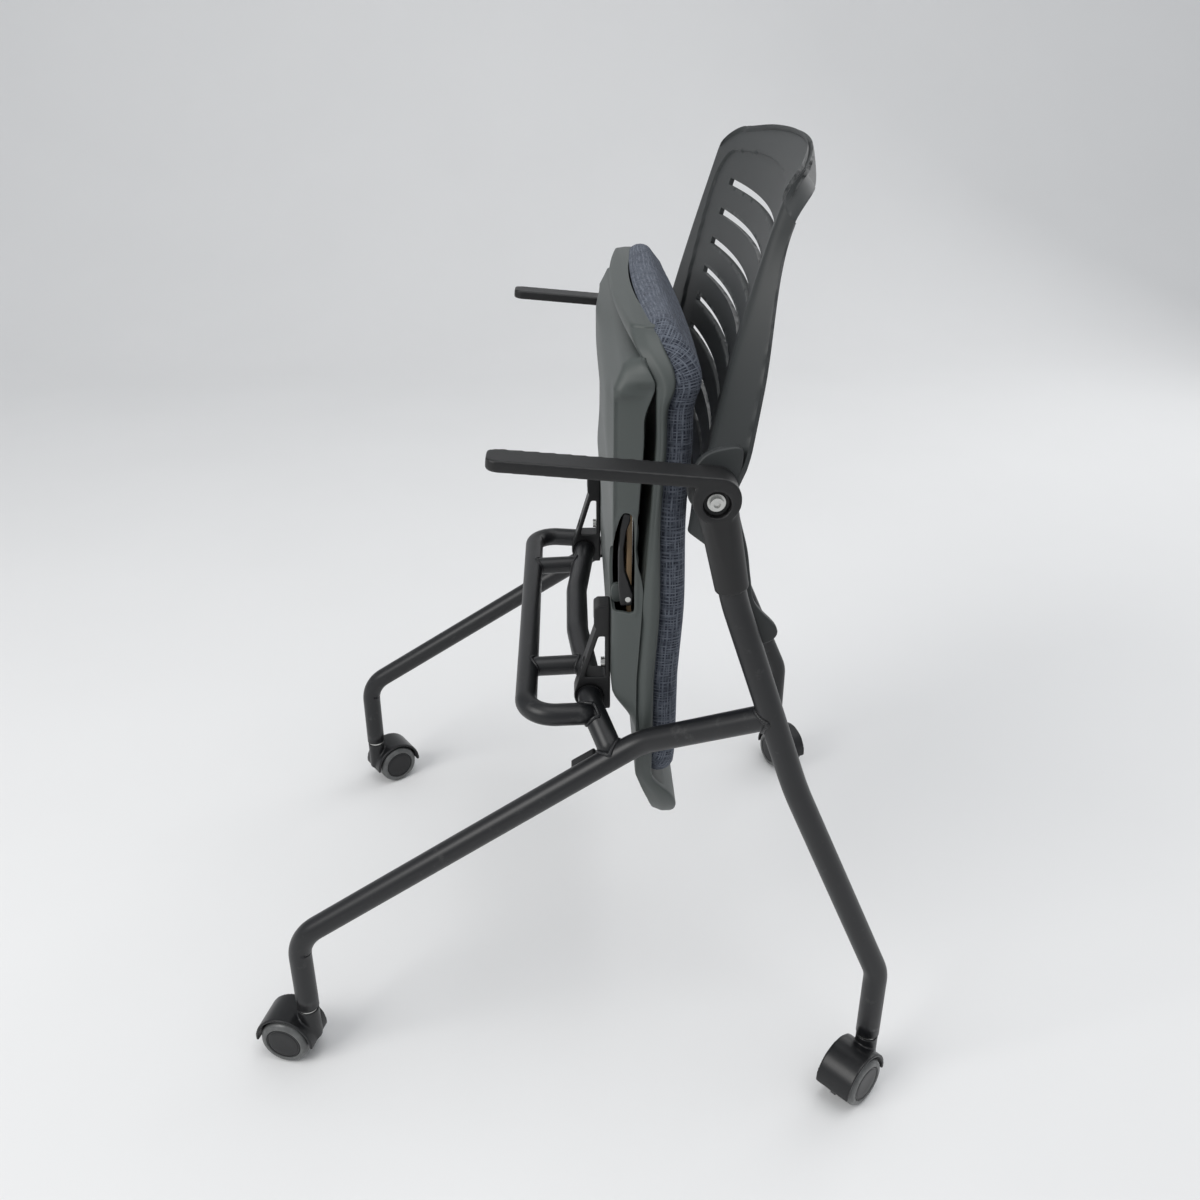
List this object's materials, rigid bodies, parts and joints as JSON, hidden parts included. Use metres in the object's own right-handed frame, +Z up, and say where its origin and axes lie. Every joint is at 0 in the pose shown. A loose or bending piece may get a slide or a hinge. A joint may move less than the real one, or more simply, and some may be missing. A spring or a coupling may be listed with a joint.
{
  "type": "nesting chair",
  "caption": "Armchair on swivel casters with a flip-up cushioned seat, slotted one-piece back and tube frame that nests into its neighbour.",
  "frame": {"origin": "on the floor under the middle of the overall box", "axes": "+Z up, the chair faces -Y, the sitter's left is +X, the seat is folded up"},
  "size_m": [0.6303, 0.6461, 0.8563],
  "materials": {
    "frame_black": "satin black powder coat",
    "arm_black": "fine-grained black moulding",
    "back_grey": "fine-grained dark grey moulding",
    "pan_grey": "fine-grained grey moulding",
    "cushion_fabric": "blue-grey cross-hatched weave",
    "black_nylon": "moulded nylon",
    "caster_black": "moulded nylon",
    "tread_grey": "soft grey tread",
    "bright_steel": "zinc plated",
    "plate_steel": "plain sheet",
    "plywood": "raw ply"
  },
  "bodies": {
    "frame": {"rear_leg_left": "frame_black", "rear_leg_right": "frame_black", "front_leg_left": "frame_black", "front_leg_right": "frame_black", "cross_tube": "frame_black", "seat_support_loop": "frame_black", "loop_struts": "frame_black", "nest_bumper_left": "black_nylon", "nest_bumper_right": "black_nylon", "arm_left": "arm_black", "arm_right": "arm_black", "arm_washers": "bright_steel", "arm_screws": "bright_steel", "back_shell": "back_grey", "hinge_bush_left": "black_nylon", "hinge_bush_right": "black_nylon", "stem_inserts": "black_nylon", "caster_stem_front_left": "bright_steel", "caster_stem_front_right": "bright_steel", "caster_stem_rear_left": "bright_steel", "caster_stem_rear_right": "bright_steel"},
    "seat": {"seat_cushion": "cushion_fabric", "seat_pan": "pan_grey", "under_shell": "pan_grey", "seat_board": "plywood", "seat_plate": "plate_steel", "bracket_screws": "bright_steel", "hinge_bracket_left": "frame_black", "hinge_bracket_right": "frame_black", "lever_pin": "bright_steel"},
    "release_lever": {"release_lever": "black_nylon"},
    "caster_front_left": {"caster_hood_front_left": "caster_black", "caster_axle_front_left": "bright_steel"},
    "wheel_front_left_a": {"wheel_hub_front_left_a": "caster_black", "wheel_tread_front_left_a": "tread_grey"},
    "wheel_front_left_b": {"wheel_hub_front_left_b": "caster_black", "wheel_tread_front_left_b": "tread_grey"},
    "caster_front_right": {"caster_hood_front_right": "caster_black", "caster_axle_front_right": "bright_steel"},
    "wheel_front_right_a": {"wheel_hub_front_right_a": "caster_black", "wheel_tread_front_right_a": "tread_grey"},
    "wheel_front_right_b": {"wheel_hub_front_right_b": "caster_black", "wheel_tread_front_right_b": "tread_grey"},
    "caster_rear_left": {"caster_hood_rear_left": "caster_black", "caster_axle_rear_left": "bright_steel"},
    "wheel_rear_left_a": {"wheel_hub_rear_left_a": "caster_black", "wheel_tread_rear_left_a": "tread_grey"},
    "wheel_rear_left_b": {"wheel_hub_rear_left_b": "caster_black", "wheel_tread_rear_left_b": "tread_grey"},
    "caster_rear_right": {"caster_hood_rear_right": "caster_black", "caster_axle_rear_right": "bright_steel"},
    "wheel_rear_right_a": {"wheel_hub_rear_right_a": "caster_black", "wheel_tread_rear_right_a": "tread_grey"},
    "wheel_rear_right_b": {"wheel_hub_rear_right_b": "caster_black", "wheel_tread_rear_right_b": "tread_grey"}
  },
  "joints": [
    {"name": "seat_fold", "type": "hinge", "parent": "frame", "child": "seat", "pos_m": [-0.016, 0.016, 0.383], "axis": [1, 0, 0], "range_deg": [0, 84]},
    {"name": "release_lever_pull", "type": "hinge", "parent": "seat", "child": "release_lever", "pos_m": [0.1749, 0.049, 0.495], "axis": [1, 0, 0], "range_deg": [-8, 0], "stiffness_Nm_per_rad": 0.3, "springref_deg": 2.86},
    {"name": "caster_swivel_front_left", "type": "hinge", "parent": "frame", "child": "caster_front_left", "pos_m": [0.219, -0.268, 0.058], "axis": [0, 0, 1], "continuous": true},
    {"name": "wheel_roll_front_left_a", "type": "hinge", "parent": "caster_front_left", "child": "wheel_front_left_a", "pos_m": [0.21356, -0.28983, 0.025], "axis": [0.9703, -0.2419, 0], "continuous": true},
    {"name": "wheel_roll_front_left_b", "type": "hinge", "parent": "caster_front_left", "child": "wheel_front_left_b", "pos_m": [0.21356, -0.28983, 0.025], "axis": [0.9703, -0.2419, 0], "continuous": true},
    {"name": "caster_swivel_front_right", "type": "hinge", "parent": "frame", "child": "caster_front_right", "pos_m": [-0.251, -0.268, 0.058], "axis": [0, 0, 1], "continuous": true},
    {"name": "wheel_roll_front_right_a", "type": "hinge", "parent": "caster_front_right", "child": "wheel_front_right_a", "pos_m": [-0.26358, -0.24935, 0.025], "axis": [-0.829, -0.5592, 0], "continuous": true},
    {"name": "wheel_roll_front_right_b", "type": "hinge", "parent": "caster_front_right", "child": "wheel_front_right_b", "pos_m": [-0.26358, -0.24935, 0.025], "axis": [-0.829, -0.5592, 0], "continuous": true},
    {"name": "caster_swivel_rear_left", "type": "hinge", "parent": "frame", "child": "caster_rear_left", "pos_m": [0.267, 0.283, 0.058], "axis": [0, 0, 1], "continuous": true},
    {"name": "wheel_roll_rear_left_a", "type": "hinge", "parent": "caster_rear_left", "child": "wheel_rear_left_a", "pos_m": [0.28206, 0.26628, 0.025], "axis": [0.7431, 0.6691, 0], "continuous": true},
    {"name": "wheel_roll_rear_left_b", "type": "hinge", "parent": "caster_rear_left", "child": "wheel_rear_left_b", "pos_m": [0.28206, 0.26628, 0.025], "axis": [0.7431, 0.6691, 0], "continuous": true},
    {"name": "caster_swivel_rear_right", "type": "hinge", "parent": "frame", "child": "caster_rear_right", "pos_m": [-0.299, 0.283, 0.058], "axis": [0, 0, 1], "continuous": true},
    {"name": "wheel_roll_rear_right_a", "type": "hinge", "parent": "caster_rear_right", "child": "wheel_rear_right_a", "pos_m": [-0.27861, 0.29251, 0.025], "axis": [-0.4226, 0.9063, 0], "continuous": true},
    {"name": "wheel_roll_rear_right_b", "type": "hinge", "parent": "caster_rear_right", "child": "wheel_rear_right_b", "pos_m": [-0.27861, 0.29251, 0.025], "axis": [-0.4226, 0.9063, 0], "continuous": true}
  ]
}
